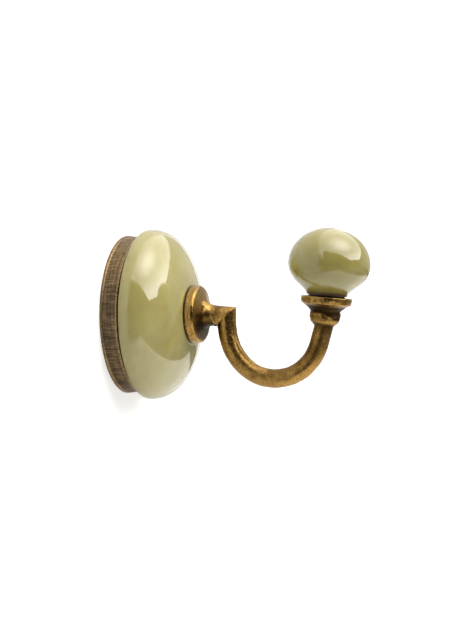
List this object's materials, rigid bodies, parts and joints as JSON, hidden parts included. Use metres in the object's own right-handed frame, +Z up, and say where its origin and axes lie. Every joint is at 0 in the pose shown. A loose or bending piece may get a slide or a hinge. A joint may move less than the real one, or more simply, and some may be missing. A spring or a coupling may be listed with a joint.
{
  "type": "wall hook",
  "caption": "Wall hook with a domed glazed ceramic rose, a J-shaped aged brass arm and a ceramic ball knob.",
  "frame": {"origin": "centre of the back plate's wall face", "axes": "+Z up, +Y into the wall, -Y out into the room along the hook's neck"},
  "size_m": [0.0716, 0.1056, 0.0716],
  "materials": {
    "aged_brass": "aged brass, dark in the hollows and rubbed gold on the edges",
    "dark_brass": "dark aged brass, turned and brushed",
    "green_glaze": "glossy sage green glaze",
    "plain_brass": "machined brass",
    "zinc_steel": "bright zinc plated",
    "black_rubber": "matt black rubber",
    "black_fibre": "matt black vulcanised fibre"
  },
  "bodies": {
    "plate": {"back_plate": "dark_brass", "mounting_stud": "zinc_steel", "stud_lock_washer": "zinc_steel", "stud_lock_nut": "zinc_steel", "rose_gasket": "black_rubber"},
    "rose": {"rose": "green_glaze", "collar_washer": "black_fibre"},
    "hook": {"hook_collar": "aged_brass", "hook_arm": "aged_brass", "knob_seat": "aged_brass", "knob_stud": "zinc_steel"},
    "knob_washer": {"knob_washer": "black_fibre"},
    "knob": {"knob": "green_glaze", "knob_insert": "plain_brass"}
  },
  "joints": [
    {"name": "rose_slide", "type": "slide", "parent": "plate", "child": "rose", "axis": [0, -1, 0], "range_m": [0, 0.0072]},
    {"name": "hook_unscrew", "type": "hinge", "parent": "rose", "child": "hook", "pos_m": [0, -0.0295, 0], "axis": [0, -1, 0], "range_deg": [0, 3240]},
    {"name": "washer_slide", "type": "slide", "parent": "hook", "child": "knob_washer", "axis": [0, -0.0872, 0.9962], "range_m": [0, 0.0063]},
    {"name": "knob_unscrew", "type": "hinge", "parent": "knob_washer", "child": "knob", "pos_m": [0, -0.08743, 0.00713], "axis": [0, -0.0872, 0.9962], "range_deg": [0, 3240]}
  ],
  "couplings": [
    {"joint": "rose_slide", "follows": "hook_unscrew", "m_per_rad": 0.00012732},
    {"joint": "washer_slide", "follows": "knob_unscrew", "m_per_rad": 0.00011141}
  ]
}
